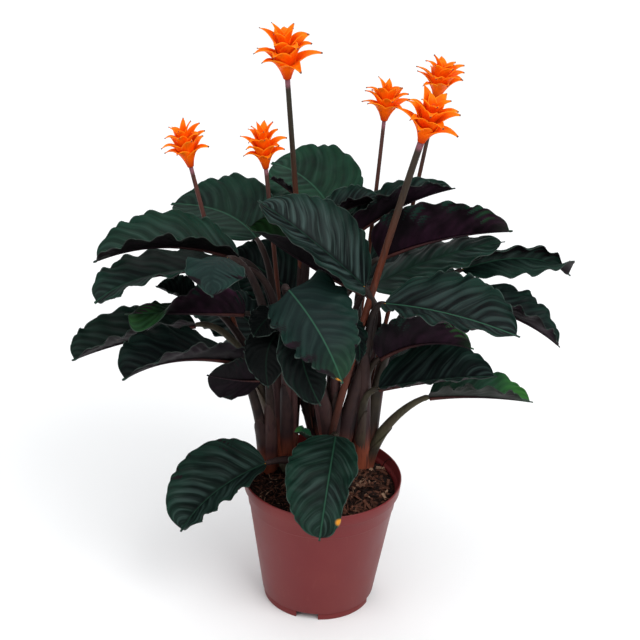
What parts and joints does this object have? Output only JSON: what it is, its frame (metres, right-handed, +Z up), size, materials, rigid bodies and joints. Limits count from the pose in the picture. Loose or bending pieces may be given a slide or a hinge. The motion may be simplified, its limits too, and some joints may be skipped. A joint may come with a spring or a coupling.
{
  "type": "potted flowering foliage plant",
  "caption": "Eternal flame calathea in a plastic nursery pot: dark banded leaves, burgundy below, on clumped stalks, with orange bract heads on tall stems.",
  "frame": {"origin": "centre of the pot's base, on the surface that the pot stands on", "axes": "+Z up along the pot's axis, -Y towards the front of the plant, +X to the right as seen from the front"},
  "size_m": [0.4269, 0.2505, 0.5287],
  "materials": {
    "pot": "satin terracotta-coloured moulded plastic",
    "soil": "coarse bark and coir chips, dry on top",
    "stalk": "reddish-brown leaf stalks and flower stems, olive in places",
    "blade": "dark green with pale side bands above, burgundy below, softly shiny",
    "bract": "matte saffron orange with yellow inner parts"
  },
  "bodies": {
    "root": {"pot": "pot", "soil": "soil", "stalks": "stalk", "leaf_back_top": "blade", "leaf_upper_left": "blade", "leaf_left_high": "blade", "leaf_left_mid": "blade", "leaf_left_small": "blade", "leaf_centre_high": "blade", "leaf_centre_behind": "blade", "leaf_right_high": "blade", "leaf_right_upper": "blade", "leaf_right_far": "blade", "leaf_right_front": "blade", "leaf_right_outer": "blade", "leaf_left_outer": "blade", "leaf_left_low": "blade", "leaf_right_under": "blade", "leaf_right_low": "blade", "leaf_right_lowest": "blade", "leaf_front_centre": "blade", "leaf_left_inner": "blade", "leaf_left_curl": "blade", "leaf_inner_low_left": "blade", "leaf_front_hanging_left": "blade", "leaf_front_inner_left": "blade", "leaf_front_hanging": "blade", "leaf_inner_right": "blade", "leaf_front_low": "blade", "leaf_front_young": "blade", "leaf_left_lowest": "blade", "leaf_back_right": "blade", "leaf_back_strip": "blade", "leaf_back_small": "blade", "leaf_back_left": "blade", "leaf_back_centre": "blade", "leaf_back_mid_right": "blade", "leaf_back_low_right": "blade", "leaf_back_low_left": "blade", "flower_tallest": "bract", "flower_left": "bract", "flower_inner_left": "bract", "flower_middle": "bract", "flower_back_right": "bract", "flower_front_right": "bract"}
  },
  "joints": []
}
